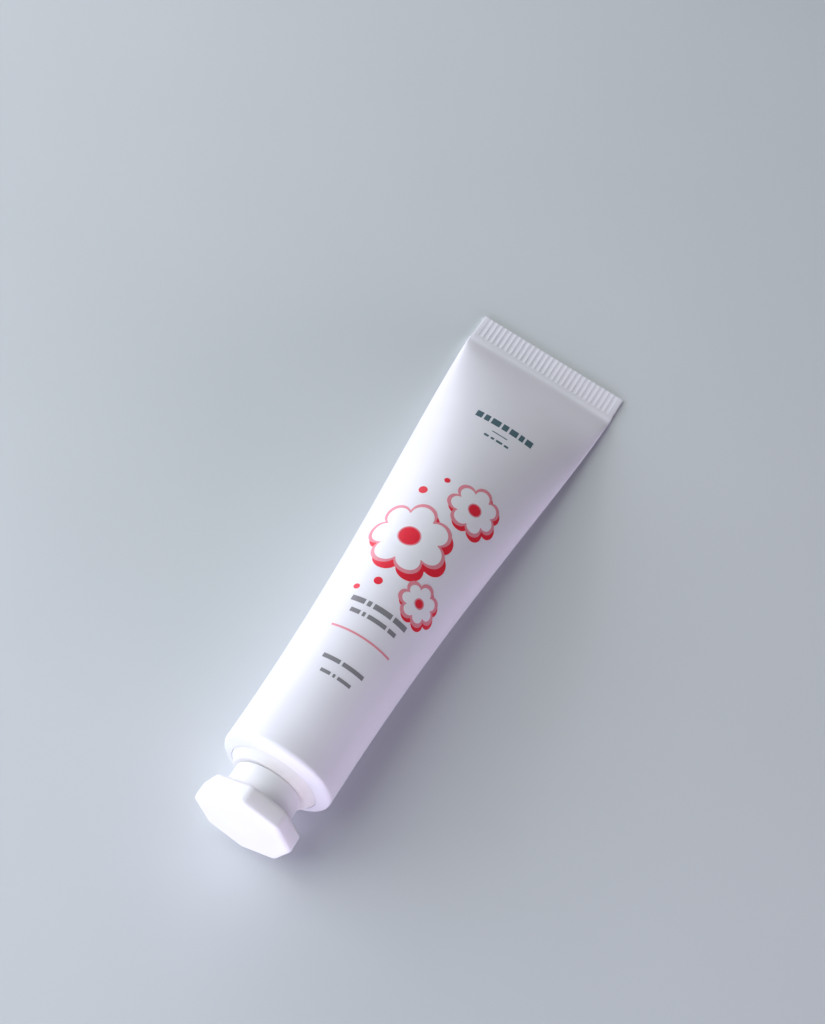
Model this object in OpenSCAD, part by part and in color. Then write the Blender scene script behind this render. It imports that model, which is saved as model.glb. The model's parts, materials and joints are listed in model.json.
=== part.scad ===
// Small cosmetic squeeze tube lying on its back: a laminate sleeve with a crimped end,
// a moulded shoulder with a threaded neck, and a screw cap with an octagonal head.
// Row frame: +X from the crimped end to the cap, +Z up, floor at z = 0.

/* [Sleeve] */
// Diameter of the round end of the sleeve
sleeve_d = 19; // [16:0.5:24]
// Length of the sleeve from its round rim to the start of the seal
sleeve_l = 91; // [70:1:120]
// Thickness of the laminate
wall = 0.35; // [0.25:0.05:0.5]
// How full the sleeve is: the power at which it flattens toward the seal
fullness = 2.05; // [1.8:0.05:2.5]
// Length of the stiff round ring over the shoulder
ring_l = 3; // [2:0.5:6]
// Radius of the rolled rim
rim_r = 1; // [0.7:0.1:1.4]
// Width of the lip that the rim turns in over the shoulder
lip_w = 1; // [0.5:0.1:1.2]
// How far the lip rises as it follows the shoulder
lip_rise = 0.4; // [0.1:0.1:0.6]

/* [Seal] */
// Length of the flat seal along the tube
seal_l = 5.4; // [4:0.1:8]
// Length of the plain band between the sleeve and the ribs
band_l = 0.8; // [0.5:0.1:1.5]
// Plain margin at each side of the ribs
margin_w = 1; // [0.5:0.1:2]
// Number of ribs pressed across the seal
rib_n = 28; // [10:1:36]
// Depth of the grooves between the ribs
rib_h = 0.12; // [0.05:0.01:0.16]

/* [Shoulder and neck] */
// Thickness of the shoulder disc
shoulder_t = 1.2; // [0.8:0.1:1.6]
// Distance from the rim to the top of the shoulder's cone
cone_l = 1.75; // [1:0.05:2]
// Diameter of the flat seat at the top of the cone
seat_d = 12.8; // [12.2:0.1:13.2]
// Thickness of the flange that lines the sleeve's ring
flange_t = 0.8; // [0.5:0.1:1.2]
// Diameter of the neck at the root of its thread
neck_d = 7.8; // [7:0.1:8]
// Length of the neck beyond the rim
neck_l = 6.9; // [6.5:0.1:8]
// Wall of the neck
neck_wall = 1; // [0.8:0.1:1.2]
// Thickness of the neck's end wall, around the orifice
orifice_wall = 1.4; // [1:0.1:2]
// Diameter of the orifice
orifice_d = 3; // [2:0.1:4]

/* [Thread] */
// Travel of the cap in one turn
pitch = 2; // [1.8:0.1:2.4]
// Height of the neck's ridge
ridge_h = 0.6; // [0.4:0.05:0.6]
// Turns of the neck's ridge
ridge_turns = 1.75; // [1.5:0.25:2]
// Turns of the cap's ridge
cap_ridge_turns = 1.25; // [1:0.25:1.5]
// Clearance between the cap and the neck, all round
thread_gap = 0.12; // [0.1:0.01:0.2]

/* [Cap] */
// Diameter of the cap's round skirt
skirt_d = 11.4; // [11.2:0.1:13]
// Distance from the rim to the head of the cap
skirt_l = 6.15; // [5:0.05:6.5]
// Width of the octagonal head across its flats
head_w = 15.8; // [14:0.1:18]
// Thickness of the head
head_t = 3.4; // [3:0.1:5]
// Turn of the octagon at rest, in degrees
head_turn = 9; // [0:1:44]
// Radius on the edges around the head's faces
edge_r = 0.5; // [0.3:0.1:0.7]
// Radius of the head's eight corners
corner_r = 0.8; // [0.8:0.1:1.5]
// Radius in the corner between the skirt and the head
fillet_r = 0.4; // [0.2:0.1:0.8]
// Gap between the skirt and the shoulder when closed
skirt_gap = 0.15; // [0.1:0.05:0.4]
// Thickness of the sealing liner in the cap
liner_t = 0.8; // [0.5:0.1:1]

/* [Print] */
// Thickness of a layer of ink
ink_t = 0.03; // [0.02:0.01:0.05]
// Radius of the largest flower, to its petal tips
flower_r = 6.6; // [5:0.1:7]
// Number of petals
petal_n = 7; // [6:1:10]
// Width of the coloured outline around the petals
outline_w = 0.7; // [0.4:0.1:0.8]
// Height of a line of plain blocks
block_h = 1; // [0.8:0.05:1.2]
// How far the flower's shadow is shifted, along and across the tube
shadow = [-1, 0.9]; // [-1:0.1:1]

/* [Hidden] */
// clearance between pieces that are fixed to each other
seat_gap = 0.05;
// clearance of the filling inside the sleeve's facets
fill_gap = 0.12;
// how far solids that are joined or cut reach into or past each other
overlap = 1;
sleeve_r = sleeve_d / 2;
// the seal is two walls pressed together
seal_h = wall;
// the crimped part is squeezed a little thinner than the plain band
crimp_inset = 0.05;
// the ribbed part starts inside the plain band
crimp_root = 0.3;
// sides of a section, and sections along the sleeve and along its hollow
side_n = 48;
station_n = 24;
hollow_n = 12;
// closer sections near the seal
station_power = 1.5;
// share of the length at which the hollow ends
hollow_end = 0.985;
// the section squares up only close to the seal
square_gain = 10;
square_power = 40;
// steps along a rounded edge, in degrees
arc_step = 18;
// sides of round pieces
round_n = 96;

// tilt of the tube's axis when it lies on its flat underside
tilt = atan((sleeve_r - seal_h) / (sleeve_l - ring_l));
axis_z = sleeve_r * cos(tilt) + ring_l * sin(tilt);

neck_r = neck_d / 2;
thread_r = neck_r + ridge_h;
bore_r = thread_r + thread_gap;
skirt_r = skirt_d / 2;
seat_r = seat_d / 2;
cap_end = skirt_l + head_t;
bore_end = neck_l + liner_t;
lip_r = sleeve_r - rim_r - lip_w;
flange_r = sleeve_r - wall - seat_gap - flange_t;
// ridge widths at the root and the crest, as shares of the pitch
ridge_root = 0.5 * pitch;
ridge_crest = 0.22 * pitch;
ridge_steps = 32;
ridge_sink = 0.25;
ridge_start = cone_l + 0.5 * pitch;
// the ridge fades in and out over this many steps
ridge_fade = 5;

octagon_n = 8;
corner_steps = 3;
edge_step = 30;
// distance from the axis to the centres of the corners' arcs
corner_at = (head_w / 2 - corner_r) / cos(180 / octagon_n);
corner_low = max([for (k = [1 : octagon_n]) sin(head_turn + 360 * k / octagon_n)]);
head_low = corner_at * corner_low + corner_r - edge_r;
// how far the model reaches along X on either side of the rim
reach_cap = cap_end * cos(tilt) + head_low * sin(tilt);
reach_seal = sleeve_l * cos(tilt) + seal_l;
mid_x = (reach_seal - reach_cap) / 2;

// width that the ribs cover, and where the seal lies
seal_half_w = half_width(seal_h);
rib_span = 2 * (seal_half_w - margin_w);
rib_pitch = rib_span / rib_n;
rib_steps = 6;
seal_x = -sleeve_l * cos(tilt);

// ink sits just clear of the faceted sleeve, and each layer clear of the one below
ink_lift = 0.04;
ink_gap = 0.03;
ink_step = 1.5;
// radius at which a filled flower closes at its centre
ink_core = 0.5;
petal_steps = 6;
// round petals just overlap at this share of their half spacing
lobe_fit = 1.03;
// size of the flower's eye as a share of its radius
eye = 0.3;
// distance of the largest flower from the rim
flower_u = 0.47 * sleeve_l;
dot_sides = 20;
// how far the flowers and their shadows reach, from the rim
art_low = min([for (f = flowers()) f[0][0] - f[1] * (1 - shadow[0] / flower_r)]) - outline_w;
art_high = max([for (f = flowers()) f[0][0] + f[1]]) + outline_w;
// thin rule across the tube
rule_u = art_low - 6.5 * block_h;
rule_h = 0.35 * block_h;
rule_w = 0.58 * sleeve_d;
// lines of small blocks that stand in for lettering: each line's distance from the
// flowers, its height and its blocks' widths, all in block heights
teal_lines = [
    [14.8, 1.5, [1.3, 1, 1.7, 1.1, 1.5, 0.9, 1.4]],
    [12.5, 0.22, [3]],
    [10.9, 0.5, [0.9, 0.6, 1.2, 0.8]]];
grey_lines = [
    [0.8, 1, [2.4, 0.7, 3.3, 2.6]],
    [2.9, 0.8, [1.7, 0.5, 3.4, 1.5]],
    [12, 0.75, [3, 3.9]],
    [14.4, 0.6, [1.7, 0.4, 2.4]]];
block_gap = 0.45 * block_h;

// Half width of a section of constant girth with half height h
function half_width(h) = let (g = sleeve_d)
    ((6 * g - 8 * h) + sqrt(pow(8 * h - 6 * g, 2) - 24 * (6 * h * h - 6 * g * h + g * g))) / 12;
// How far along its flattening stretch the sleeve is, at a distance u from the rim
function flat_share(u) = max(0, (u - ring_l) / (sleeve_l - ring_l));
function mean_h(s) = seal_h + (sleeve_r - seal_h) * (1 - pow(s, fullness));
function low_h(s) = seal_h + (sleeve_r - seal_h) * (1 - s);
function high_h(s) = 2 * mean_h(s) - low_h(s);
// Power of the section's outline: 2 is an ellipse, higher is squarer
function square(s) = 2 + square_gain * pow(s, square_power);
function bulge(c, m) = pow(max(0, 1 - pow(abs(c), m)), 1 / m);
// From the tube's own axes (x along the axis, 0 at the rim) to the row's
function to_row(p) = [mid_x + p[0] * cos(tilt) - p[2] * sin(tilt), p[1],
                      axis_z + p[0] * sin(tilt) + p[2] * cos(tilt)];
// Points of the section at u, drawn in by d
function section(u, d, m) = let (s = flat_share(u), a = half_width(mean_h(s)) - d)
    [for (k = [0 : side_n - 1]) let (f = 360 * k / side_n, z = bulge(cos(f), m))
        to_row([-u, a * cos(f), (sin(f) > 0 ? high_h(s) - d : d - low_h(s)) * z])];
function round_section(x, r) = [for (k = [0 : side_n - 1]) let (f = 360 * k / side_n)
    to_row([x, r * cos(f), r * sin(f)])];
function band_section(x) = [for (k = [0 : side_n - 1]) let (f = 360 * k / side_n)
    [mid_x + x, seal_half_w * cos(f),
     seal_h + (sin(f) > 0 ? 1 : -1) * seal_h * bulge(cos(f), square(1))]];
function station(t, first, last) = last + (first - last) * (1 - pow(t, station_power));
// Sections of the hollow, from the seal to the ring, drawn in by d
function hollow_sections(d, last) = let (first = ring_l + hollow_end * (sleeve_l - ring_l))
    [for (i = [0 : hollow_n]) section(station(i / hollow_n, first, last), d, 2)];

// Closed skin through a list of sections with the same number of points,
// which run anticlockwise when seen from the last section
module loft(rings) {
    n = len(rings[0]);
    last = len(rings) - 1;
    polyhedron(
        points = [for (r = rings) each r],
        faces = concat(
            [[for (k = [0 : n - 1]) k]],
            [for (i = [0 : last - 1], k = [0 : n - 1]) let (j = (k + 1) % n)
                each [[i * n + k, (i + 1) * n + k, i * n + j],
                      [i * n + j, (i + 1) * n + k, (i + 1) * n + j]]],
            [[for (k = [n - 1 : -1 : 0]) last * n + k]]),
        convexity = 6);
}

// Places a piece that was drawn about +Z, with z = 0 at the rim, on the tube's axis
module on_axis() {
    translate([mid_x, 0, axis_z]) rotate([0, 90 - tilt, 0]) children();
}

// Outer skin, rolled rim, then the inner skin back to the seal, as one closed surface
module sleeve_shell() {
    inner_r = rim_r - wall;
    loft(concat(
        [band_section(seal_x - band_l)],
        [for (i = [0 : station_n]) let (u = station(i / station_n, sleeve_l, ring_l))
            section(u, 0, square(flat_share(u)))],
        [for (a = [0 : arc_step : 90])
            round_section(rim_r * (sin(a) - 1), sleeve_r - rim_r * (1 - cos(a)))],
        [round_section(lip_rise, lip_r), round_section(lip_rise - wall, lip_r)],
        [for (a = [90 : -arc_step : 0])
            round_section(inner_r * sin(a) - rim_r, sleeve_r - rim_r + inner_r * cos(a))],
        [for (i = [hollow_n : -1 : 0]) hollow_sections(wall, ring_l)[i]]));
}

// Depth of the groove at a place across the seal
function groove(y) = crimp_inset + rib_h * (1 - cos(360 * (y + rib_span / 2) / rib_pitch)) / 2;
function rib_ys() = [for (i = [0 : rib_n * rib_steps]) i * rib_pitch / rib_steps - rib_span / 2];

module crimp() {
    side = seal_half_w - crimp_inset;
    ys = rib_ys();
    last = len(ys) - 1;
    translate([mid_x + seal_x - seal_l, 0, 0])
    rotate([90, 0, 90])
    linear_extrude(seal_l - band_l + crimp_root)
    polygon(concat(
        [[-side, seal_h], [-side + 2 * seal_h, crimp_inset]],
        [for (y = ys) [y, groove(y)]],
        [[side - 2 * seal_h, crimp_inset], [side, seal_h], [side - 2 * seal_h, 2 * seal_h - crimp_inset]],
        [for (i = [last : -1 : 0]) [ys[i], 2 * seal_h - groove(ys[i])]],
        [[-side + 2 * seal_h, 2 * seal_h - crimp_inset]]));
}

module tube_sleeve() {
    color("white") {
        sleeve_shell();
        crimp();
    }
}

// Helical ridge about +Z from a sunk root to a crest, fading at both ends
module ridge(root_r, crest_r, first_z, turns) {
    steps = round(turns * ridge_steps);
    loft([for (i = [0 : steps])
        let (a = 360 * i / ridge_steps,
             z = first_z + pitch * i / ridge_steps,
             fade = max(0.1, min(1, i / ridge_fade, (steps - i) / ridge_fade)),
             r = root_r + (crest_r - root_r) * fade,
             turned = crest_r > root_r ? [3, 2, 1, 0] : [0, 1, 2, 3],
             corners = [[root_r, -ridge_root / 2], [r, -ridge_crest / 2],
                        [r, ridge_crest / 2], [root_r, ridge_root / 2]])
        [for (k = turned) [corners[k][0] * cos(a), corners[k][0] * sin(a), z + corners[k][1]]]]);
}

module shoulder_neck() {
    disc_r = sleeve_r - rim_r - seat_gap;
    color("gainsboro") on_axis() {
        rotate_extrude($fn = round_n) polygon(concat(
            [[orifice_d / 2, neck_l], [orifice_d / 2, neck_l - orifice_wall],
             [neck_r - neck_wall, neck_l - orifice_wall - neck_wall],
             [neck_r - neck_wall, cone_l - shoulder_t], [seat_r - shoulder_t, cone_l - shoulder_t],
             [flange_r, -wall - shoulder_t],
             [flange_r, -ring_l], [flange_r + flange_t, -ring_l]],
            [for (a = [0 : arc_step : 90])
                [disc_r + (rim_r - wall) * cos(a), (rim_r - wall) * sin(a) - rim_r]],
            [[lip_r - seat_gap, lip_rise - wall], [lip_r - seat_gap, lip_rise],
             [seat_r, cone_l], [neck_r, cone_l], [neck_r, neck_l]]));
        ridge(neck_r - ridge_sink, thread_r, ridge_start, ridge_turns);
    }
}

module tint_paste() {
    bore = neck_r - neck_wall - seat_gap;
    color("darkred") {
        loft(hollow_sections(wall + fill_gap, ring_l + fill_gap));
        on_axis() rotate_extrude($fn = round_n) polygon([
            [0, -ring_l - overlap], [flange_r - seat_gap, -ring_l - overlap],
            [flange_r - seat_gap, -wall - shoulder_t - seat_gap],
            [seat_r - shoulder_t - seat_gap, cone_l - shoulder_t - seat_gap],
            [bore, cone_l - shoulder_t - seat_gap],
            [bore, neck_l - orifice_wall - neck_wall - seat_gap],
            [orifice_d / 2 - seat_gap, neck_l - orifice_wall - seat_gap],
            [orifice_d / 2 - seat_gap, neck_l - seat_gap], [0, neck_l - seat_gap]]);
    }
}

module cap_liner() {
    color("ivory") on_axis()
        translate([0, 0, neck_l]) cylinder(h = liner_t - seat_gap, r = bore_r - seat_gap, $fn = round_n);
}

// Octagon with round corners, drawn in by inset, at height z
function octagon(z, inset) = let (span = 360 / octagon_n)
    [for (k = [0 : octagon_n - 1], j = [0 : corner_steps]) let (a = span * (k - 0.5 + j / corner_steps))
        [corner_at * cos(span * k) + (corner_r - inset) * cos(a),
         corner_at * sin(span * k) + (corner_r - inset) * sin(a), z]];

// Octagonal plate with rounded edges, standing on z = 0
module octagon_head() {
    loft(concat(
        [for (a = [90 : -edge_step : 0]) octagon(edge_r * (1 - sin(a)), edge_r * (1 - cos(a)))],
        [for (a = [0 : edge_step : 90]) octagon(head_t - edge_r * (1 - sin(a)), edge_r * (1 - cos(a)))]));
}

module screw_cap() {
    skirt_z = cone_l + skirt_gap;
    bore_z = skirt_z - overlap;
    color("white") on_axis() {
        difference() {
            union() {
                translate([0, 0, skirt_l]) rotate(head_turn) octagon_head();
                translate([0, 0, skirt_z])
                    cylinder(h = skirt_l + overlap - skirt_z, r = skirt_r, $fn = round_n);
                translate([0, 0, skirt_l]) rotate_extrude($fn = round_n) difference() {
                    translate([skirt_r - fillet_r, -fillet_r]) square(2 * fillet_r);
                    translate([skirt_r + fillet_r, -fillet_r]) circle(fillet_r, $fn = side_n);
                }
            }
            translate([0, 0, bore_z]) cylinder(h = bore_end - bore_z, r = bore_r, $fn = round_n);
        }
        ridge(bore_r + ridge_sink, neck_r + thread_gap, ridge_start + pitch / 2, cap_ridge_turns);
    }
}

// Point on top of the sleeve at u from the rim and y across, measured along the
// surface as a print is, and raised by lift
function on_top(u, y, lift) = let (s = flat_share(u), a = half_width(mean_h(s)),
                                   c = sin(min(90, y / a * 180 / PI)))
    to_row([-u, (a + lift) * c, high_h(s) * bulge(c, square(s)) + lift]);
function layer(n) = ink_lift + n * (ink_t + ink_gap);

// Thin film of ink over a grid of rows of [u, y]; loops close on themselves
module ink_sheet(rows, n) {
    m = len(rows[0]);
    last = len(rows) - 1;
    low = (last + 1) * m;
    polyhedron(
        points = concat([for (r = rows, p = r) on_top(p[0], p[1], layer(n) + ink_t)],
                        [for (r = rows, p = r) on_top(p[0], p[1], layer(n))]),
        faces = concat(
            [for (i = [0 : last - 1], k = [0 : m - 2]) each
                [[i * m + k, (i + 1) * m + k, i * m + k + 1],
                 [i * m + k + 1, (i + 1) * m + k, (i + 1) * m + k + 1],
                 [low + i * m + k, low + i * m + k + 1, low + (i + 1) * m + k],
                 [low + i * m + k + 1, low + (i + 1) * m + k + 1, low + (i + 1) * m + k]]],
            [for (k = [0 : m - 2]) each
                [[k, k + 1, low + k], [k + 1, low + k + 1, low + k],
                 [last * m + k, low + last * m + k, last * m + k + 1],
                 [last * m + k + 1, low + last * m + k, low + last * m + k + 1]]],
            [for (i = [0 : last - 1]) each
                [[i * m, low + i * m, (i + 1) * m], [low + i * m, low + (i + 1) * m, (i + 1) * m],
                 [i * m + m - 1, (i + 1) * m + m - 1, low + i * m + m - 1],
                 [low + i * m + m - 1, (i + 1) * m + m - 1, low + (i + 1) * m + m - 1]]]),
        convexity = 4);
}

// Film between closed loops, the first loop left open as a hole or filled
module ink_loops(loops, n, filled) {
    m = len(loops[0]);
    last = len(loops) - 1;
    low = (last + 1) * m;
    polyhedron(
        points = concat([for (r = loops, p = r) on_top(p[0], p[1], layer(n) + ink_t)],
                        [for (r = loops, p = r) on_top(p[0], p[1], layer(n))]),
        faces = concat(
            [for (i = [0 : last - 1], k = [0 : m - 1]) let (j = (k + 1) % m) each
                [[i * m + k, (i + 1) * m + k, i * m + j],
                 [i * m + j, (i + 1) * m + k, (i + 1) * m + j],
                 [low + i * m + k, low + i * m + j, low + (i + 1) * m + k],
                 [low + i * m + j, low + (i + 1) * m + j, low + (i + 1) * m + k]]],
            [for (k = [0 : m - 1]) let (j = (k + 1) % m) each
                [[last * m + k, low + last * m + k, last * m + j],
                 [last * m + j, low + last * m + k, low + last * m + j]]],
            filled ? [[for (k = [0 : m - 1]) k], [for (k = [m - 1 : -1 : 0]) low + k]]
                   : [for (k = [0 : m - 1]) let (j = (k + 1) % m) each
                         [[k, j, low + k], [j, low + j, low + k]]]),
        convexity = 4);
}

// Radius of a flower's outline in the direction a: a ring of round petals
function petal(r, a) = let (turn = 360 / petal_n,
                            off = abs(a / turn - round(a / turn)) * turn,
                            lobe = lobe_fit * sin(turn / 2) / (1 + lobe_fit * sin(turn / 2)))
    r * ((1 - lobe) * cos(off) + sqrt(max(0, pow(lobe, 2) - pow((1 - lobe) * sin(off), 2))));
function petal_loop(at, r, grow) = [for (k = [0 : petal_n * petal_steps - 1])
    let (a = 360 * k / (petal_n * petal_steps))
    at + (petal(r, a) + grow) * [cos(a), sin(a)]];
function round_loop(at, r, count) = [for (k = [0 : count - 1]) let (a = 360 * k / count)
    at + r * [cos(a), sin(a)]];

// Each flower is [centre, radius]; they stand apart and share one shape
function flowers() = [
    [[flower_u, -0.44 * flower_r], flower_r],
    [[flower_u + 1.75 * flower_r, 0.56 * flower_r], 0.66 * flower_r],
    [[flower_u - 1.45 * flower_r, 0.7 * flower_r], 0.48 * flower_r]];
// Loose dots between the flowers: [centre, radius]
function dots() = [
    [[flower_u + 1.5 * flower_r, -0.85 * flower_r], 0.12 * flower_r],
    [[flower_u + 2.1 * flower_r, -0.45 * flower_r], 0.08 * flower_r],
    [[flower_u - 1.55 * flower_r, -0.45 * flower_r], 0.11 * flower_r],
    [[flower_u - 1.9 * flower_r, -0.85 * flower_r], 0.08 * flower_r]];

// Flower with its outline grown by grow, its eye an open hole or filled
module flower(at, r, hole, grow, n, filled = false) {
    count = ceil((r - hole) / ink_step);
    outer = petal_loop(at, r, grow);
    inner = round_loop(at, hole, len(outer));
    ink_loops([for (i = [0 : count]) inner + (outer - inner) * i / count], n, filled);
}

module print_red() {
    color("crimson") {
        for (f = flowers()) flower(f[0] + shadow * f[1] / flower_r, f[1], ink_core, outline_w, 0, true);
        for (d = dots()) ink_loops([for (r = [d[1] / 2, d[1]]) round_loop(d[0], r, dot_sides)], 0, true);
    }
}

module print_pink() {
    color("lightpink") {
        for (f = flowers()) flower(f[0], f[1], eye * f[1] - outline_w / 3, outline_w, 1);
        bar(rule_u, 0, rule_h, rule_w, 0);
    }
}

module print_white() {
    color("white") for (f = flowers()) flower(f[0], f[1], eye * f[1], 0, 2);
}

// Flat bar centred on [u, y], h along the tube and w across it
module bar(u, y, h, w, n) {
    count = ceil(w / ink_step);
    rows = max(1, ceil(h / ink_step));
    ink_sheet([for (i = [0 : rows]) [for (k = [0 : count])
        [u - h / 2 + h * i / rows, y + w * (k / count - 0.5)]]], n);
}

// Row of blocks across the tube at u, centred, as one of the lines above gives it
module block_row(u, line) {
    widths = block_h * line[2];
    total = sum(widths, len(widths)) + block_gap * (len(widths) - 1);
    for (i = [0 : len(widths) - 1]) {
        y = sum(widths, i) + block_gap * i + (widths[i] - total) / 2;
        bar(u, y, line[1] * block_h, widths[i], 0);
    }
}
function sum(list, n) = n == 0 ? 0 : list[n - 1] + sum(list, n - 1);

module print_teal() {
    color("darkslategray") for (line = teal_lines) block_row(art_high + line[0] * block_h, line);
}

module print_grey() {
    color("dimgray") for (line = grey_lines) block_row(art_low - line[0] * block_h, line);
}

tube_sleeve();
shoulder_neck();
tint_paste();
cap_liner();
screw_cap();
print_red();
print_pink();
print_white();
print_teal();
print_grey();
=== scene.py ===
# %% [markdown]
# A small squeeze tube lies on its back on a pale table. Its sleeve is a sheet of
# laminate made into a tube, its shoulder and neck are one moulding, and its cap is
# another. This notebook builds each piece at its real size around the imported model,
# which stays the frame that everything is placed by.

import json
import math

import bmesh
import bpy
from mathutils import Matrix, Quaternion, Vector


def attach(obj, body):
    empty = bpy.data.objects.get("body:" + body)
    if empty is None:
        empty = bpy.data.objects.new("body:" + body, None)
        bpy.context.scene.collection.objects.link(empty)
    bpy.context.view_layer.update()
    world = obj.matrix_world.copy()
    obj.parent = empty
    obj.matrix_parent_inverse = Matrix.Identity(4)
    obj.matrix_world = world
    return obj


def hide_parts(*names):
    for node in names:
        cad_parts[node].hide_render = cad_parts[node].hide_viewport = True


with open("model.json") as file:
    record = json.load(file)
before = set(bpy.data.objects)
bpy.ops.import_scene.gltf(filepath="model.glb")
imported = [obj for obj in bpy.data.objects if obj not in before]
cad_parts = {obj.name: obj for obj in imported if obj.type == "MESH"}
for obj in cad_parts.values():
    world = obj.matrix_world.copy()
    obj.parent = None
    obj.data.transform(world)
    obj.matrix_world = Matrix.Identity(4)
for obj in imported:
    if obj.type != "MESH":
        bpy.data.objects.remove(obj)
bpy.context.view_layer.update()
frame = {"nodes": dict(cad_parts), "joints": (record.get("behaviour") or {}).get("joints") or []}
print("nodes:", sorted(frame["nodes"]))

# %% [markdown]
# The cap's hinge lies on the tube's axis, at the centre of the round rim. So the frame
# itself says where the tube is and how far it is tilted, and no place is typed twice.

# %% Where the tube's axis lies
mm = 0.001
cap_hinge = next(joint for joint in frame["joints"] if joint["type"] == "hinge")
axis = Vector(cap_hinge["axis"]).normalized()
rim = Vector(cap_hinge["pos_m"])
tilt = math.asin(axis.z)
print(f"the axis rises {math.degrees(tilt):.2f} degrees towards the cap")

# %% [markdown]
# A tube that is pressed flat keeps its girth, so its half width follows from its half
# height. The underside lies flat on the table and the upper side swells, which gives
# every section two different half heights.

# %% The sleeve's sizes and sections
sleeve_r = 9.5 * mm
sleeve_l = 91 * mm
wall = 0.35 * mm
ring_l = 3 * mm
fullness = 2.05
rim_r = 1 * mm
lip_reach = 1 * mm
lip_r = sleeve_r - rim_r - lip_reach
lip_slope = math.radians(22)
seal_l = 5.4 * mm
band_l = 0.8 * mm
seal_x = rim.x - sleeve_l * math.cos(tilt)


def half_width(half_height):
    """Half width of an ellipse with the sleeve's girth, by a close formula for girths."""
    girth, part = 2 * sleeve_r, 8 * half_height - 12 * sleeve_r
    root = part**2 - 24 * (6 * half_height**2 - 6 * girth * half_height + girth**2)
    return (math.sqrt(root) - part) / 12


def share(u):
    """How far along its flattening stretch the sleeve is, at u from the rim."""
    return max(0.0, (u - ring_l) / (sleeve_l - ring_l))


def heights(u):
    """Half heights of the section at u: the mean, the upper and the lower one."""
    s = share(u)
    mean = wall + (sleeve_r - wall) * (1 - s**fullness)
    low = wall + (sleeve_r - wall) * (1 - s)
    return mean, 2 * mean - low, low


seal_half_w = half_width(wall)
print(f"the seal is {2 * seal_half_w / mm:.1f} mm wide")

# %% [markdown]
# These helpers do what a hand does over and over: start with nothing selected, pick
# vertices by their place, finish a mesh. Every piece is drawn standing up, round the
# Z axis with the rim at zero, because primitives and extrusions are simplest there. A
# later helper lays it down on the tube's own axis. A cutter reaches a little past what
# it cuts, so that no two faces coincide. Places are told apart by near, heights by hair
# and doubles by double_gap.

# %% Helpers for modelling
near = 0.1 * mm
hair = 0.01 * mm
double_gap = 0.0005 * mm
overreach = 1 * mm


def start(add, name, **settings):
    """Adds a primitive with nothing else selected and returns it."""
    bpy.ops.object.select_all(action="DESELECT")
    add(**settings)
    piece = bpy.context.object
    piece.name = piece.data.name = name
    return piece


def take(piece):
    """Makes a piece the only one selected."""
    bpy.ops.object.select_all(action="DESELECT")
    piece.select_set(True)
    bpy.context.view_layer.objects.active = piece


def edit(piece, select="DESELECT"):
    """Opens a piece's mesh for editing."""
    take(piece)
    bpy.ops.object.mode_set(mode="EDIT")
    bpy.ops.mesh.select_mode(type="VERT")
    bpy.ops.mesh.select_all(action=select)


def done():
    """Closes the mesh that is open for editing."""
    bpy.ops.object.mode_set(mode="OBJECT")


def pick_verts(piece, test):
    """Selects the vertices whose place passes the test, and no others."""
    bpy.ops.mesh.select_mode(type="VERT")
    bpy.ops.mesh.select_all(action="DESELECT")
    mesh = bmesh.from_edit_mesh(piece.data)
    for vert in mesh.verts:
        vert.select = test(vert.co)
    mesh.select_flush_mode()
    bmesh.update_edit_mesh(piece.data)


def pick_edges(piece, test):
    """Selects the edges whose two ends pass the test, and no others."""
    bpy.ops.mesh.select_mode(type="EDGE")
    bpy.ops.mesh.select_all(action="DESELECT")
    mesh = bmesh.from_edit_mesh(piece.data)
    for line in mesh.edges:
        line.select_set(test(line.verts[0].co, line.verts[1].co))
    bmesh.update_edit_mesh(piece.data)


def is_level(a, b):
    """Whether an edge's two ends are equally high, as a piece stands."""
    return abs(a.z - b.z) < hair


def pull(step, scale=(1, 1, 1), about=(0, 0, 0)):
    """Extrudes what is selected by step and scales the new ring about a point."""
    bpy.ops.mesh.extrude_region_move(TRANSFORM_OT_translate={"value": step})
    bpy.ops.transform.resize(value=scale, center_override=about)


def tidy_faces():
    """Merges doubles and turns every face outwards."""
    bpy.ops.mesh.select_all(action="SELECT")
    bpy.ops.mesh.remove_doubles(threshold=double_gap)
    bpy.ops.mesh.normals_make_consistent(inside=False)


def finish_with(piece, kind, **settings):
    """Adds a modifier and applies it."""
    take(piece)
    modifier = piece.modifiers.new(kind.title(), kind)
    for name, value in settings.items():
        setattr(modifier, name, value)
    bpy.ops.object.modifier_apply(modifier=modifier.name)


def combine(piece, other, operation="UNION"):
    """Joins or cuts a piece with another, which is used up, and merges what doubles."""
    finish_with(piece, "BOOLEAN", object=other, operation=operation, solver="EXACT")
    bpy.data.objects.remove(other)
    edit(piece)
    tidy_faces()
    done()


def lay(piece):
    """Takes a piece that was drawn standing up to the tube's axis."""
    take(piece)
    piece.rotation_euler = (0, math.pi / 2 - tilt, 0)
    piece.location = rim
    bpy.ops.object.transform_apply(location=True, rotation=True, scale=True)


def smooth(piece, degrees):
    """Shades a piece smooth, apart from its edges that turn by more than degrees."""
    take(piece)
    bpy.ops.object.shade_smooth_by_angle(angle=math.radians(degrees))
    print(f"{piece.name}: {len(piece.data.polygons)} faces")


# %% [markdown]
# The photographer stood on the cap's side, looked steeply down and held the camera
# askew. A point on the table, a distance, an angle above the table and a roll say the
# same as the picture does, and the lens follows from how large the tube stands in it.

# %% Camera
look_at = Vector((-11.75, -5.75, 0)) * mm
camera_far = 275 * mm
camera_up = math.radians(64.345)
camera_heading = math.radians(260.772)
camera_roll = math.radians(23.693)
frame_px = 1024
focal_px = 1592.6


def on_table(right, away, height):
    """A direction as the photographer sees it, turned into the frame's own."""
    return Quaternion((0, 0, 1), -camera_heading) @ Vector((right, away, height))


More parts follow.
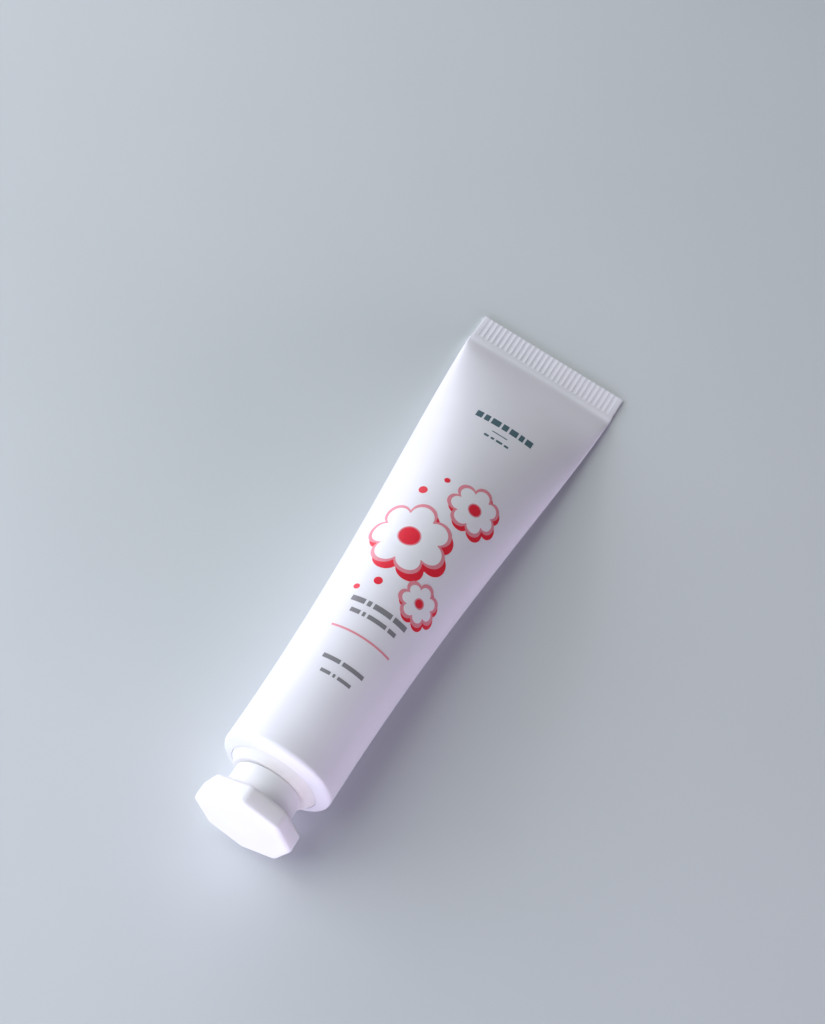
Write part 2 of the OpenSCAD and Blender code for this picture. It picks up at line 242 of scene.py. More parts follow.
camera_data = bpy.data.cameras.new("camera")
camera = bpy.data.objects.new("camera", camera_data)
bpy.context.scene.collection.objects.link(camera)
from_object = on_table(0, -math.cos(camera_up), math.sin(camera_up))
camera.location = look_at + camera_far * from_object
camera.rotation_mode = "QUATERNION"
level = (-from_object).to_track_quat("-Z", "Y")
camera.rotation_quaternion = level @ Quaternion((0, 0, 1), camera_roll)
camera_data.lens = camera_data.sensor_width * focal_px / frame_px
camera_data.clip_start = 10 * mm
bpy.context.scene.camera = camera
print(f"a {camera_data.lens:.0f} mm lens at {camera_far / mm:.0f} mm")

# %% [markdown]
# The sleeve is drawn as a hand would pull it: a ring of vertices is extruded from
# station to station and scaled each time, from the seal to the round end, over the
# rolled rim and back inside, so that the sheet's true thickness shows wherever it can
# be seen. Its upper and lower halves are scaled apart, since the back is flat.

# %% Sleeve: the rings from the seal to the rim and back
side_n = 192
station_n = 56
hollow_n = 24
hollow_share = 0.98
crowding = 1.4
rim_steps = 8


def body_ring(u, inward):
    """The ring at u from the rim: (z, half width, upper and lower half height)."""
    mean, high, low = heights(u)
    return -u, half_width(mean) - inward, high - inward, low - inward


def round_ring(z, radius):
    """The ring at z, as body_ring gives it, where the section is round."""
    return z, radius, radius, radius


def station(t):
    """Distance from the rim: stations crowd towards the seal, where the shape turns."""
    return ring_l + (sleeve_l - ring_l) * (1 - t**crowding)


rim_turn = math.pi / 2 - lip_slope
turns = [rim_turn * i / rim_steps for i in range(rim_steps + 1)]
inner_r = rim_r - wall
lip_w = sleeve_r - rim_r * (1 - math.cos(rim_turn)) - lip_r
lip_rise = rim_r * (math.sin(rim_turn) - 1) + lip_w * math.tan(lip_slope)
lip_foot = lip_rise - wall / math.cos(lip_slope)
outer = [body_ring(station(i / station_n), 0) for i in range(station_n + 1)]
outer += [round_ring(rim_r * (math.sin(a) - 1), sleeve_r - rim_r * (1 - math.cos(a)))
          for a in turns]
lip = [round_ring(lip_rise, lip_r), round_ring(lip_foot, lip_r)]
inner = [round_ring(inner_r * math.sin(a) - rim_r, sleeve_r - rim_r + inner_r * math.cos(a))
         for a in reversed(turns)]
inner += [body_ring(ring_l + hollow_share * (sleeve_l - ring_l) * i / hollow_n, wall)
          for i in range(hollow_n + 1)]
rings = outer + lip + inner
print(len(rings), "rings")

# %% Sleeve: pull the rings


def fit_ring(piece, there, here):
    """Scales the newest ring from the sizes in here to those in there."""
    z, width, high, low = there
    mesh = bmesh.from_edit_mesh(piece.data)
    mesh.verts.ensure_lookup_table()
    ring = mesh.verts[-side_n:]
    about = (0, 0, z)
    bpy.ops.transform.resize(value=(1, width / here[1], 1), center_override=about)
    for side, size, before in ((-1, high, here[2]), (1, low, here[3])):
        for vert in ring:
            vert.select = side * vert.co.x > 0
        bpy.ops.transform.resize(value=(size / before, 1, 1), center_override=about)
    for vert in ring:
        vert.select = True


sleeve = start(bpy.ops.mesh.primitive_circle_add, "sleeve", vertices=side_n,
               radius=seal_half_w, location=(0, 0, -sleeve_l))
bpy.ops.object.transform_apply(location=True)
edit(sleeve, "SELECT")
here = (-sleeve_l, seal_half_w, seal_half_w, seal_half_w)
for there in rings:
    if there is not rings[0]:
        bpy.ops.mesh.extrude_region_move(
            TRANSFORM_OT_translate={"value": (0, 0, there[0] - here[0])})
    fit_ring(sleeve, there, here)
    here = there
bpy.ops.mesh.edge_face_add()
done()
print("sleeve:", len(sleeve.data.polygons), "faces")

# %% [markdown]
# Close to the seal an ellipse would leave knife edges, but the folded sheet keeps a
# square shoulder there. Scaling can't do that, so this one step moves the vertices of
# the last stations by a formula: a superellipse whose power rises towards the seal. The
# same step presses a soft crease along the seal, deeper at the left hand corner, where
# the jaws pinched the sheet.

# %% Sleeve: square up the last stations
square_gain = 10
square_power = 40
crease_w = 0.8 * mm
crease_deep = 0.16 * mm
crease_middle = 0.7
crease_corner = 0.8
crease_lean = 0.5


def square(u):
    """The superellipse's power at u: 2 is a plain ellipse."""
    return 2 + square_gain * share(u) ** square_power


def bulge(across, power):
    """Height of a superellipse of half width 1 at a place across it."""
    return max(0.0, 1 - abs(across) ** power) ** (1 / power)


def crease(u, across):
    """How much lower the upper side lies beside the seal, at a place across it."""
    corner = crease_corner * across**2 * (1 - crease_lean * across)
    away = (sleeve_l - u) / crease_w
    return crease_deep * (crease_middle + corner) * away * math.exp(1 - away)


for vert in sleeve.data.vertices[:side_n * (station_n + 1)]:
    u = -vert.co.z
    mean, high, low = heights(u)
    across = vert.co.y / half_width(mean)
    high -= crease(u, across)
    vert.co.x = (low if vert.co.x > 0 else -high) * bulge(across, square(u))
lay(sleeve)
print("widest", round(max(v.co.y for v in sleeve.data.vertices) / mm, 2), "mm from the middle")

# %% [markdown]
# The seal is the same sheet pressed together and welded, so it grows out of the open
# end: first a plain band, then the part that the ribbed jaws squeezed a little thinner.
# It lies level on the table, and so it is pulled along X after the sleeve is laid. On
# the left the strip is trimmed a little, which leaves a small ear where it starts.

# %% Seal: the band and the squeezed part
seal_top = 2 * wall
crimp_inset = 0.05 * mm
step_l = 0.15 * mm
ear_w = 0.25 * mm
ear_l = 0.3 * mm
trimmed = 1 - ear_w / (2 * seal_half_w)
thinner = (wall - crimp_inset) / wall
edit(sleeve)
pick_verts(sleeve, lambda at: at.x < seal_x + near)
pull((-ear_l, 0, 0), (0, trimmed, 1), (seal_x - ear_l, seal_half_w, 0))
pull((ear_l - band_l, 0, 0))
pull((-step_l, 0, 0), (1, 1 - crimp_inset / seal_half_w, thinner), (0, 0, wall))
pull((band_l + step_l - seal_l, 0, 0))
bpy.ops.mesh.edge_face_add()
tidy_faces()
done()
print(f"the seal ends at x = {min(v.co.x for v in sleeve.data.vertices) / mm:.2f} mm")

# %% [markdown]
# The jaws press narrow grooves across the welded strip, on both faces. One groove is
# modelled as a long flat rod whose inner end thins out, an Array modifier repeats it,
# and a Boolean modifier cuts all of them at once.

# %% Seal: the grooves
rib_n = 28
margin_w = 1 * mm
rib_pitch = 2 * (seal_half_w - margin_w) / rib_n
groove_share = 0.92
groove_w = groove_share * rib_pitch
groove_deep = 0.055 * mm
groove_rise = 0.04 * mm
rod_sides = 16
rod_r = 1 * mm
plain_l = 0.55 * mm
tip_l = 0.4 * mm
tip_w = 0.4
tip_t = 0.2
groove_end = seal_x - band_l - plain_l
groove_start = seal_x - seal_l - overreach


def groove_rods(face_z, side):
    """All the rods that cut one face, side being 1 above and -1 below."""
    length = groove_end - groove_start
    middle = face_z + side * groove_rise
    rod = start(bpy.ops.mesh.primitive_cylinder_add, "rod", vertices=rod_sides, radius=rod_r,
                depth=length, rotation=(0, math.pi / 2, 0))
    rod.scale = ((groove_deep + groove_rise) / rod_r, groove_w / 2 / rod_r, 1)
    first = -rib_pitch * (rib_n - 1) / 2
    rod.location = ((groove_start + groove_end) / 2, first, middle)
    bpy.ops.object.transform_apply(location=True, rotation=True, scale=True)
    edit(rod)
    pick_verts(rod, lambda at: at.x > groove_end - near)
    pull((tip_l, 0, 0), (1, tip_w, tip_t), (0, first, middle))
    tidy_faces()
    done()
    finish_with(rod, "ARRAY", count=rib_n, use_relative_offset=False,
                use_constant_offset=True, constant_offset_displace=(0, rib_pitch, 0))
    return rod


combine(sleeve, groove_rods(seal_top - crimp_inset, 1), "DIFFERENCE")
combine(sleeve, groove_rods(crimp_inset, -1), "DIFFERENCE")
smooth(sleeve, degrees=35)

# %% [markdown]
# The shoulder and its neck are one moulding. Its outline is turned like a bowl on a
# lathe: a ring at the orifice is extruded from corner to corner of the outline.

# %% A helper that turns an outline
round_n = 128


def turned(name, outline):
    """A closed turned piece: the outline's (radius, height) corners, in order."""
    radius, z = outline[0]
    piece = start(bpy.ops.mesh.primitive_circle_add, name, vertices=round_n,
                  radius=radius, location=(0, 0, z))
    bpy.ops.object.transform_apply(location=True)
    edit(piece, "SELECT")
    for next_radius, next_z in outline[1:] + outline[:1]:
        grow = next_radius / radius
        pull((0, 0, next_z - z), (grow, grow, 1), (0, 0, next_z))
        radius, z = next_radius, next_z
    tidy_faces()
    done()
    return piece


def arc(centre, radius, first, last, steps=6):
    """Points of an arc round a centre, its angles in degrees."""
    turns = [math.radians(first + (last - first) * i / steps) for i in range(steps + 1)]
    return [(centre[0] + radius * math.cos(a), centre[1] + radius * math.sin(a)) for a in turns]


# %% Shoulder and neck
shoulder_t = 1.2 * mm
cone_l = 1.75 * mm
seat_r = 6.4 * mm
flange_t = 0.8 * mm
neck_r = 3.9 * mm
neck_l = 6.9 * mm
neck_bore_r = 2.9 * mm
orifice_r = 1.5 * mm
orifice_wall = 1.4 * mm
seat_gap = 0.05 * mm
edge_r = 0.2 * mm
seam_deep = 0.08 * mm
funnel_l = 1 * mm
cone_meets = 33
cone_low = lip_foot + seat_gap
flange_r = sleeve_r - wall - seat_gap - flange_t
disc_r = sleeve_r - rim_r - seat_gap
neck_outline = (
    arc((orifice_r + edge_r, neck_l - edge_r), edge_r, 180, 90)
    + arc((neck_r - edge_r, neck_l - edge_r), edge_r, 90, 0)
    + arc((neck_r + edge_r, cone_l + edge_r), edge_r, 180, 270)
    + arc((seat_r - edge_r, cone_l - edge_r), edge_r, 90, cone_meets)
    + [(lip_r - seat_gap, lip_rise - seam_deep), (lip_r - seat_gap, cone_low),
       (lip_r, lip_foot - seat_gap)]
    + arc((disc_r, -rim_r), inner_r, math.degrees(rim_turn), 0)
    + [(flange_r + flange_t, -ring_l), (flange_r, -ring_l), (flange_r, -wall - shoulder_t),
       (seat_r - shoulder_t, cone_l - shoulder_t), (neck_bore_r, cone_l - shoulder_t),
       (neck_bore_r, neck_l - orifice_wall - funnel_l),
       (orifice_r, neck_l - orifice_wall)])
neck = turned("shoulder_and_neck", neck_outline)

# %% [markdown]
# The thread is a ridge that climbs round the neck. Its cross-section is a small plane,
# and the Screw modifier turns it and lifts it by one pitch a turn. Its two ends are
# then sunk step by step, as a mould cutter runs out.

# %% Thread
pitch = 2 * mm
thread_r = 4.5 * mm
ridge_sink = 0.25 * mm
ridge_start = cone_l + pitch / 2
ridge_steps = 48
fade_steps = 8
faintest = 0.05
crest_share = 0.44
corner_n = 4


def thread_ridge(name, root_r, crest_r, first_z, turns):
    """A helical ridge from a sunk root to a crest, fading at both ends."""
    middle_r = (root_r + crest_r) / 2
    section = start(bpy.ops.mesh.primitive_plane_add, name, size=1,
                    rotation=(math.pi / 2, 0, 0))
    section.scale = (abs(crest_r - root_r), pitch / 2, 1)
    section.location = (middle_r, 0, first_z)
    bpy.ops.object.transform_apply(location=True, rotation=True, scale=True)
    edit(section)
    pick_verts(section, lambda at: (at.x - middle_r) * (crest_r - root_r) > 0)
    bpy.ops.transform.resize(value=(1, 1, crest_share), center_override=(0, 0, first_z))
    bpy.ops.mesh.select_all(action="SELECT")
    bpy.ops.mesh.delete(type="ONLY_FACE")
    done()
    steps = round(turns * ridge_steps)
    finish_with(section, "SCREW", axis="Z", angle=2 * math.pi * turns, steps=steps,
                render_steps=steps, screw_offset=pitch * turns, use_merge_vertices=False)
    for vert in section.data.vertices:
        radius = math.hypot(vert.co.x, vert.co.y)
        ring = vert.index // corner_n
        fade = max(faintest, min(1, ring / fade_steps, (steps - ring) / fade_steps))
        sunk = root_r + (radius - root_r) * fade
        vert.co.x *= sunk / radius
        vert.co.y *= sunk / radius
    edit(section, "SELECT")
    bpy.ops.mesh.fill_holes(sides=corner_n)
    tidy_faces()
    done()
    return section


combine(neck, thread_ridge("ridge", neck_r - ridge_sink, thread_r, ridge_start, turns=1.75))
lay(neck)
smooth(neck, degrees=35)

# %% [markdown]
# The cap is one moulding too: a round skirt that screws over the neck and a wide
# octagonal head to grip. The head starts as an eight-sided cylinder whose corners and
# then edges are bevelled, the skirt is turned with a small flare, and the two are
# joined before the bore and its thread are made.

# %% Cap
skirt_r = 5.7 * mm
skirt_l = 6.15 * mm
cap_gap = 0.08 * mm
skirt_low = cone_l + cap_gap
head_w = 15.8 * mm
head_t = 3.4 * mm
head_turn = math.radians(9)
corner_r = 1.5 * mm
head_edge_r = 0.7 * mm
fillet_r = 0.4 * mm
thread_gap = 0.12 * mm
liner_t = 0.8 * mm
bore_r = thread_r + thread_gap
bore_end = neck_l + liner_t
inside_head = skirt_l + overreach
skirt_edge = 0.2 * mm
core_r = 0.1 * mm
head_sides = 8
half_side = math.pi / head_sides
bevel_steps = 6

cap = start(bpy.ops.mesh.primitive_cylinder_add, "cap", vertices=head_sides, depth=head_t,
            radius=head_w / 2 / math.cos(half_side),
            location=(0, 0, skirt_l + head_t / 2), rotation=(0, 0, head_turn))
bpy.ops.object.transform_apply(location=True, rotation=True)
edit(cap)
pick_edges(cap, lambda a, b: abs(a.z - b.z) > head_t / 2)
bpy.ops.mesh.bevel(offset=corner_r * math.tan(half_side), segments=bevel_steps, affect="EDGES")
pick_edges(cap, is_level)
bpy.ops.mesh.bevel(offset=head_edge_r, segments=bevel_steps, affect="EDGES",
                   clamp_overlap=False)
tidy_faces()
done()
skirt_outline = (
    arc((skirt_r - skirt_edge, skirt_low + skirt_edge), skirt_edge, -90, 0)
    + arc((skirt_r + fillet_r, skirt_l - fillet_r), fillet_r, 180, 90)
    + [(skirt_r + fillet_r, inside_head), (core_r, inside_head), (core_r, skirt_low)])
combine(cap, turned("skirt", skirt_outline))
bore = start(bpy.ops.mesh.primitive_cylinder_add, "bore", vertices=round_n, radius=bore_r,
             depth=bore_end + overreach, location=(0, 0, (bore_end - overreach) / 2))
combine(cap, bore, "DIFFERENCE")
combine(cap, thread_ridge("cap_ridge", bore_r + ridge_sink, neck_r + thread_gap,
                          ridge_start + pitch / 2, turns=1.25))
lay(cap)
smooth(cap, degrees=30)

# %% [markdown]
# Inside the head lies a foam disc that seals the orifice, and in the orifice stands the
# end of the tint. Neither shows until the cap comes off.

# %% Liner and the end of the tint
liner_r = bore_r - seat_gap
liner_edge = 0.12 * mm
liner = start(bpy.ops.mesh.primitive_cylinder_add, "liner", vertices=round_n, radius=liner_r,
              depth=liner_t - seat_gap, location=(0, 0, neck_l + (liner_t - seat_gap) / 2))
bpy.ops.object.transform_apply(location=True)
edit(liner)
pick_edges(liner, is_level)
bpy.ops.mesh.bevel(offset=liner_edge, segments=3, affect="EDGES")
done()
lay(liner)
smooth(liner, degrees=40)

bead_r = orifice_r - seat_gap
bead_flat = 0.08
bead = start(bpy.ops.mesh.primitive_uv_sphere_add, "tint_bead", segments=48, ring_count=24,
             radius=bead_r)
bead.scale = (1, 1, bead_flat)
bead.location = (0, 0, neck_l - seat_gap - bead_flat * bead_r)
bpy.ops.object.transform_apply(location=True, scale=True)
lay(bead)
smooth(bead, degrees=60)

# %% [markdown]
# The print is a set of thin ink films. A flower starts as rings of vertices pulled
# outwards from its eye. Each ring is then pushed out into round petals by a formula,
# the flat film is flowed over the sleeve's upper side, and Solidify thickens it.
# The print is measured along the surface, as it was printed before the sheet was
# rolled.

# %% A helper that flows a flat film over the sleeve
ink_t = 0.012 * mm
ink_lift = 0.012 * mm
layer_step = 0.014 * mm


def flow_over(piece, layer):
    """Takes a flat film, X being the distance from the rim, to the sleeve's upper side."""
    lift = ink_lift + layer * layer_step
    for vert in piece.data.vertices:
        u, across = vert.co.x, vert.co.y
        mean, high, _ = heights(u)
        reach = half_width(mean)
        side = math.sin(max(-math.pi / 2, min(math.pi / 2, across / reach)))
        vert.co = (-high * bulge(side, square(u)) - lift, (reach + lift) * side, -u)
    lay(piece)
    edit(piece)
    tidy_faces()
    done()
    middle = piece.data.polygons[len(piece.data.polygons) // 2]
    if middle.normal.z < 0:
        edit(piece, "SELECT")
        bpy.ops.mesh.flip_normals()
        done()
    finish_with(piece, "SOLIDIFY", thickness=ink_t, offset=1)


def join_films(name, films):
    """Makes one piece of several films."""
    bpy.ops.object.select_all(action="DESELECT")
    for film in films:
        film.select_set(True)
    bpy.context.view_layer.objects.active = films[0]
    bpy.ops.object.join()
    films[0].name = films[0].data.name = name
    smooth(films[0], degrees=40)
    return films[0]


# %% Films: flowers, dots and bars
petal_n = 7
petal_steps = 26
film_step = 0.7 * mm
bar_step = 0.35 * mm
dot_sides = 40
slack = 1.01
petal_turn = 2 * math.pi / petal_n
lobe_fit = 1.03
lobe = lobe_fit * math.sin(petal_turn / 2) / (1 + lobe_fit * math.sin(petal_turn / 2))


def petal_reach(angle):
    """Outline of a flower of radius 1: a ring of round petals."""
    off = abs(angle / petal_turn - round(angle / petal_turn)) * petal_turn
    chord = max(0.0, lobe**2 - ((1 - lobe) * math.sin(off)) ** 2)
    return (1 - lobe) * math.cos(off) + math.sqrt(chord)


def flower(at, radius, hole, grow, layer, filled=False):
    """A flower's film, its outline grown by grow, its eye a hole or filled."""
    count = math.ceil((radius - hole) / film_step)
    sides = petal_n * petal_steps
    film = start(bpy.ops.mesh.primitive_circle_add, "film", vertices=sides, radius=hole,
                 fill_type="TRIFAN" if filled else "NOTHING")
    edit(film)
    pick_verts(film, lambda co: co.length > hole / slack)
    full = radius + grow
    for i in range(count):
        before, after = (hole + (full - hole) * k / count for k in (i, i + 1))
        pull((0, 0, 0), (after / before, after / before, 1))
    done()
    for vert in film.data.vertices:
        reach = vert.co.length
        if reach > hole * slack:
            edge = radius * petal_reach(math.atan2(vert.co.y, vert.co.x)) + grow
            vert.co *= (hole + (reach - hole) * (edge - hole) / (full - hole)) / reach
        vert.co += Vector((at[0], at[1], 0))
    flow_over(film, layer)
    return film


def dot(at, radius):
    """A round spot of ink."""
    film = start(bpy.ops.mesh.primitive_circle_add, "film", vertices=dot_sides, radius=radius,
                 fill_type="TRIFAN", location=(at[0], at[1], 0))
    bpy.ops.object.transform_apply(location=True)
    flow_over(film, 0)
    return film


def bar(u, y, high, wide):
    """A bar centred on u and y, high along the tube and wide across it."""
    film = start(bpy.ops.mesh.primitive_grid_add, "film", size=1, x_subdivisions=2,
                 y_subdivisions=max(2, math.ceil(wide / bar_step)), location=(u, y, 0))
    film.scale = (high, wide, 1)
    bpy.ops.object.transform_apply(location=True, scale=True)
    flow_over(film, 0)
    return film


# %% Print: the flowers and dots
flower_r = 6.6 * mm
flower_u = 0.47 * sleeve_l
outline_w = 0.7 * mm
eye = 0.3
ink_core = 0.5 * mm
shadow = (-1 * mm, 0.9 * mm)
block_h = 1 * mm
rule_away = 6.5 * block_h
rule_high = 0.35 * block_h
rule_wide = 0.58
pink_lap = outline_w / 3
flowers = [((flower_u, -0.44 * flower_r), flower_r),
           ((flower_u + 1.75 * flower_r, 0.56 * flower_r), 0.66 * flower_r),
           ((flower_u - 1.45 * flower_r, 0.7 * flower_r), 0.48 * flower_r)]
dots = [((flower_u + 1.5 * flower_r, -0.85 * flower_r), 0.12 * flower_r),
        ((flower_u + 2.1 * flower_r, -0.45 * flower_r), 0.08 * flower_r),
        ((flower_u - 1.55 * flower_r, -0.45 * flower_r), 0.11 * flower_r),
        ((flower_u - 1.9 * flower_r, -0.85 * flower_r), 0.08 * flower_r)]
art_low = min(at[0] - r + shadow[0] * r / flower_r for at, r in flowers) - outline_w
art_high = max(at[0] + r for at, r in flowers) + outline_w


def shifted(at, r):
    """Where a flower's shadow lies: further off under a larger flower."""
    return at[0] + shadow[0] * r / flower_r, at[1] + shadow[1] * r / flower_r


red = join_films("ink_red_print", [
    *[flower(shifted(at, r), r, ink_core, outline_w, 0, filled=True) for at, r in flowers],
    *[dot(at, r) for at, r in dots]])
pink = join_films("ink_pink_print", [
    *[flower(at, r, eye * r - pink_lap, outline_w, 1) for at, r in flowers],
    bar(art_low - rule_away, 0, rule_high, rule_wide * 2 * sleeve_r)])
white = join_films("ink_white_print", [flower(at, r, eye * r, 0, 2) for at, r in flowers])

# %% [markdown]
# Rows of plain blocks lie on both sides of the flowers. A row says how far it lies from
# them, how high its blocks are and how wide each one is, all counted in block_h.

# %% Print: the rows of blocks
block_gap = 0.45 * block_h
teal_rows = [(14.8, 1.5, [1.3, 1, 1.7, 1.1, 1.5, 0.9, 1.4]), (12.5, 0.22, [3]),
             (10.9, 0.5, [0.9, 0.6, 1.2, 0.8])]
grey_rows = [(0.8, 1, [2.4, 0.7, 3.3, 2.6]), (2.9, 0.8, [1.7, 0.5, 3.4, 1.5]),
             (12, 0.75, [3, 3.9]), (14.4, 0.6, [1.7, 0.4, 2.4])]


def block_row(u, high, widths):
    """Bars side by side across the tube, centred on its middle."""
    total = sum(widths) * block_h + block_gap * (len(widths) - 1)
    y = -total / 2
    films = []
    for width in widths:
        films.append(bar(u, y + width * block_h / 2, high * block_h, width * block_h))
        y += width * block_h + block_gap
    return films


teal = join_films("ink_teal_print", [
    film for away, high, widths in teal_rows
    for film in block_row(art_high + away * block_h, high, widths)])
grey = join_films("ink_grey_print", [
    film for away, high, widths in grey_rows
    for film in block_row(art_low - away * block_h, high, widths)])

# %% [markdown]
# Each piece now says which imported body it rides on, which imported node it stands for,
# and which of the record's finishes it wears.

# %% Pieces and what they stand for
for piece, body, node, slot in [
        (sleeve, "tube", "tube_sleeve", "laminate_white"),
        (neck, "tube", "shoulder_neck", "shoulder_plastic"),
        (cap, "cap", "screw_cap", "cap_plastic"),
        (liner, "liner", "cap_liner", "liner_foam"),
        (bead, "tube", None, "tint_red"),
        (red, "tube", "print_red", "ink_red"),
        (pink, "tube", "print_pink", "ink_pink"),
        (white, "tube", "print_white", "ink_white"),
        (teal, "tube", "print_teal", "ink_teal"),
        (grey, "tube", "print_grey", "ink_grey")]:
    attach(piece, body)
    if node:
        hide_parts(node)
    print(f"{piece.name} rides on {body}")

# %% [markdown]
# A finish is built from a colour, a gloss and the small unevenness of its surface. The
# helpers make the shader, its noise and its bumps, and each finish sets its own values.

# %% Helpers for finishes
noise_low, noise_high = 0.3, 0.7


def finish(name, colour, roughness, **sockets):
    """Makes a material with a plain base; returns it, its node tree and its shader."""
    material = bpy.data.materials.new(name)
    material.use_nodes = True
    material.diffuse_color = (*colour, 1)
    shader = material.node_tree.nodes["Principled BSDF"]
    shader.inputs["Base Color"].default_value = (*colour, 1)
    shader.inputs["Roughness"].default_value = roughness
    for socket, value in sockets.items():
        shader.inputs[socket.replace("_", " ")].default_value = value
    return material, material.node_tree, shader


def noise(tree, size, stretch=(1, 1, 1), detail=2.0):
    """Noise whose lumps are about size metres across, on the piece's own coordinates."""
    place = tree.nodes.new("ShaderNodeTexCoord")
    mapping = tree.nodes.new("ShaderNodeMapping")
    mapping.inputs["Scale"].default_value = stretch
    texture = tree.nodes.new("ShaderNodeTexNoise")
    texture.inputs["Scale"].default_value = 1 / size
    texture.inputs["Detail"].default_value = detail
    tree.links.new(place.outputs["Object"], mapping.inputs["Vector"])
    tree.links.new(mapping.outputs["Vector"], texture.inputs["Vector"])
    return texture.outputs["Fac"]


def vary(tree, fac, socket, low, high):
    """Runs a socket between two values as the noise goes from dark to light."""
    spread = tree.nodes.new("ShaderNodeMapRange")
    spread.inputs["From Min"].default_value = noise_low
    spread.inputs["From Max"].default_value = noise_high
    spread.inputs["To Min"].default_value = low
    spread.inputs["To Max"].default_value = high
    tree.links.new(fac, spread.inputs["Value"])
    tree.links.new(spread.outputs["Result"], socket)


def tint_between(tree, fac, socket, dark, light):
    """Runs a colour socket between two colours."""
    ramp = tree.nodes.new("ShaderNodeValToRGB")
    ramp.color_ramp.elements[0].position = noise_low
    ramp.color_ramp.elements[1].position = noise_high
    ramp.color_ramp.elements[0].color = (*dark, 1)
    ramp.color_ramp.elements[1].color = (*light, 1)
    tree.links.new(fac, ramp.inputs["Fac"])
    tree.links.new(ramp.outputs["Color"], socket)


def roughen(tree, shader, fac, height):
    """Bumps the surface by height metres between the noise's lows and highs."""
    bump = tree.nodes.new("ShaderNodeBump")
    bump.inputs["Distance"].default_value = height
    tree.links.new(fac, bump.inputs["Height"])
    previous = shader.inputs["Normal"].links
    if previous:
        tree.links.new(previous[0].from_socket, bump.inputs["Normal"])
    tree.links.new(bump.outputs["Normal"], shader.inputs["Normal"])


def waviness(tree, shader):
    """The slow waves of the sheet, which the inks printed on it share."""
    roughen(tree, shader, noise(tree, 9 * mm, (0.4, 1, 1)), 0.05 * mm)


def paint(piece, material):
    """Gives a piece its one material."""
    piece.data.materials.clear()
    piece.data.materials.append(material)
    print(f"{piece.name} wears {material.name}")


# %% Finish: satin laminate
laminate, tree, shader = finish("satin_laminate", (0.85, 0.83, 0.885), 0.36, IOR=1.48)
tint_between(tree, noise(tree, 14 * mm), shader.inputs["Base Color"],
             (0.835, 0.815, 0.87), (0.865, 0.845, 0.90))
vary(tree, noise(tree, 3 * mm), shader.inputs["Roughness"], 0.32, 0.40)
waviness(tree, shader)
roughen(tree, shader, noise(tree, 0.35 * mm), 0.002 * mm)
paint(sleeve, laminate)

# %% Finish: moulded plastics
for piece, name, dark, light, rough, milky in [
        (neck, "shoulder_plastic", (0.83, 0.80, 0.79), (0.86, 0.83, 0.82), 0.42, 0.3),
        (cap, "cap_plastic", (0.90, 0.88, 0.92), (0.92, 0.90, 0.94), 0.33, 0.35),
        (liner, "liner_foam", (0.76, 0.75, 0.72), (0.82, 0.81, 0.79), 0.8, 0)]:
    plastic, tree, shader = finish(name, light, rough, IOR=1.49, Subsurface_Weight=milky,
                                   Subsurface_Scale=1.5 * mm, Subsurface_Radius=(1, 0.9, 0.85))
    tint_between(tree, noise(tree, 6 * mm), shader.inputs["Base Color"], dark, light)
    vary(tree, noise(tree, 2 * mm), shader.inputs["Roughness"], rough - 0.03, rough + 0.04)
    roughen(tree, shader, noise(tree, 0.25 * mm), 0.003 * mm)
    paint(piece, plastic)

# %% Finish: wet tint
tint, tree, shader = finish("wet_tint", (0.36, 0.012, 0.03), 0.12, IOR=1.4)
tint_between(tree, noise(tree, 0.8 * mm), shader.inputs["Base Color"],
             (0.30, 0.008, 0.02), (0.42, 0.016, 0.04))
vary(tree, noise(tree, 0.6 * mm), shader.inputs["Roughness"], 0.08, 0.18)
roughen(tree, shader, noise(tree, 0.9 * mm), 0.02 * mm)
paint(bead, tint)
paint(frame["nodes"]["tint_paste"], tint)

# %% Finish: inks
for piece, name, colour, mottle in [
        (red, "ink_red", (0.86, 0.03, 0.055), 0.07),
        (pink, "ink_pink", (0.84, 0.29, 0.35), 0.07),
        (white, "ink_white", (0.89, 0.875, 0.92), 0.015),
        (teal, "ink_teal", (0.10, 0.17, 0.20), 0.07),
        (grey, "ink_grey", (0.26, 0.25, 0.27), 0.07)]:
    ink, tree, shader = finish(name, colour, 0.34, IOR=1.5)
    dark = tuple(channel * (1 - mottle) for channel in colour)
    tint_between(tree, noise(tree, 1.2 * mm, detail=4), shader.inputs["Base Color"], dark, colour)
    vary(tree, noise(tree, 1.5 * mm), shader.inputs["Roughness"], 0.30, 0.38)
    waviness(tree, shader)
    paint(piece, ink)

# %% [markdown]
# The table is pale, cool and a little glossy, so it keeps a faint image of the cap. It
# belongs to the stage and not to the tube.

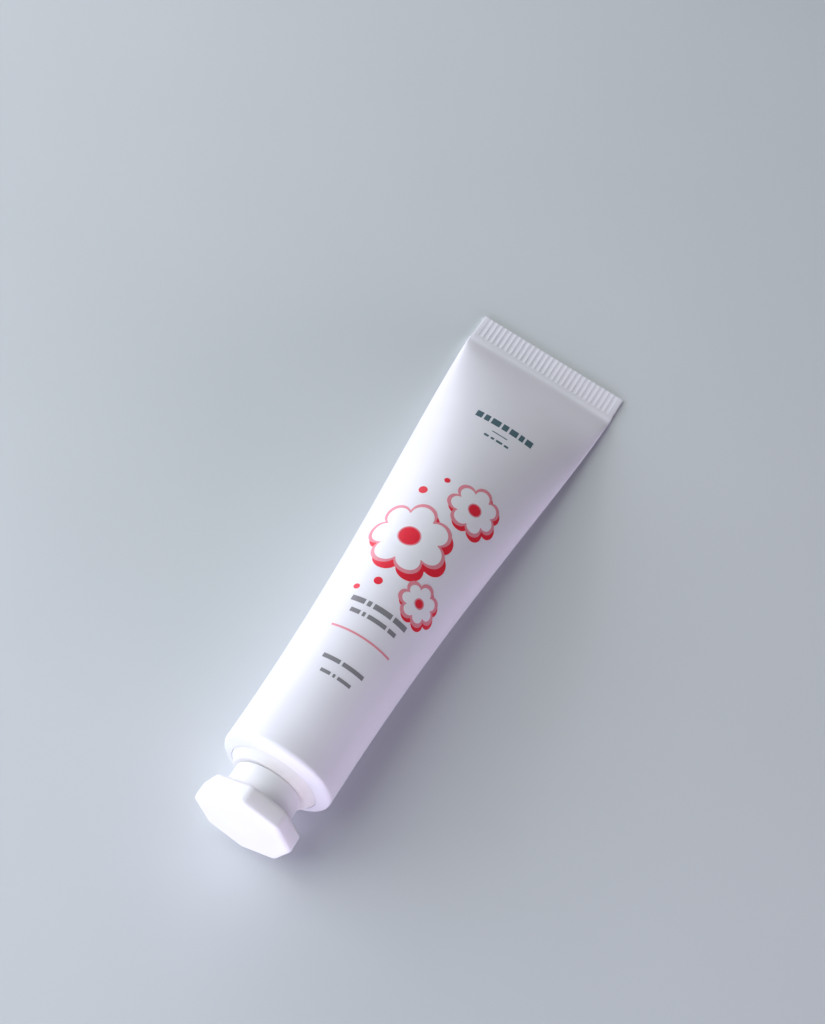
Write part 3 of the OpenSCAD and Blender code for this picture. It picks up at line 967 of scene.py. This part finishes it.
# %% Table
table_size = 4
table = start(bpy.ops.mesh.primitive_plane_add, "table", size=table_size)
surface, tree, shader = finish("pale_table", (0.67, 0.695, 0.71), 0.21, IOR=1.4)
tint_between(tree, noise(tree, 60 * mm), shader.inputs["Base Color"],
             (0.66, 0.685, 0.70), (0.68, 0.705, 0.72))
vary(tree, noise(tree, 25 * mm), shader.inputs["Roughness"], 0.19, 0.23)
paint(table, surface)

# %% [markdown]
# A large window to the photographer's left lights the tube, and pale walls throw its
# light back from low down, all the way round from behind the window to the right hand
# side. So one lamp stands high, and four long ones make a low band. Each is described
# by its heading, counted from the photographer's right and away from them.

# %% Lamps
lamp_far = 0.7


def soft_lamp(name, heading, height, size, brightness, colour):
    """A soft lamp that faces the tube; white turned to it looks as bright as is said."""
    data = bpy.data.lights.new(name, "AREA")
    data.shape = "RECTANGLE"
    data.size, data.size_y = size
    data.energy = brightness * (math.pi * lamp_far) ** 2
    data.color = colour
    lamp = bpy.data.objects.new(name, data)
    bpy.context.scene.collection.objects.link(lamp)
    turn, rise = math.radians(heading), math.radians(height)
    side = on_table(math.cos(rise) * math.cos(turn), math.cos(rise) * math.sin(turn),
                    math.sin(rise))
    lamp.location = look_at + lamp_far * side
    lamp.rotation_mode = "QUATERNION"
    lamp.rotation_quaternion = side.to_track_quat("Z", "Y")
    lamp.visible_camera = False
    print(f"{name}: {height} degrees up, {size[0]:g} by {size[1]:g} m")


band = (0.72, 0.34)
low_band = (0.72, 0.2)
soft_lamp("window", 193, 50, (0.6, 0.6), 0.71, (0.93, 1.0, 0.97))
soft_lamp("wall_behind", 135, 12, low_band, 0.42, (0.92, 0.88, 1.0))
soft_lamp("wall_left", 195, 18, band, 0.56, (0.76, 0.82, 1.0))
soft_lamp("wall_front", 255, 13, low_band, 0.44, (0.74, 0.76, 1.0))
soft_lamp("wall_right", 315, 10, low_band, 0.64, (0.88, 0.78, 1.0))

# %% Sky and colour
sky = bpy.data.worlds.new("sky")
sky.use_nodes = True
sky.node_tree.nodes["Background"].inputs["Color"].default_value = (0.85, 0.87, 0.95, 1)
sky.node_tree.nodes["Background"].inputs["Strength"].default_value = 0.02
bpy.context.scene.world = sky
bpy.context.scene.view_settings.view_transform = "Standard"
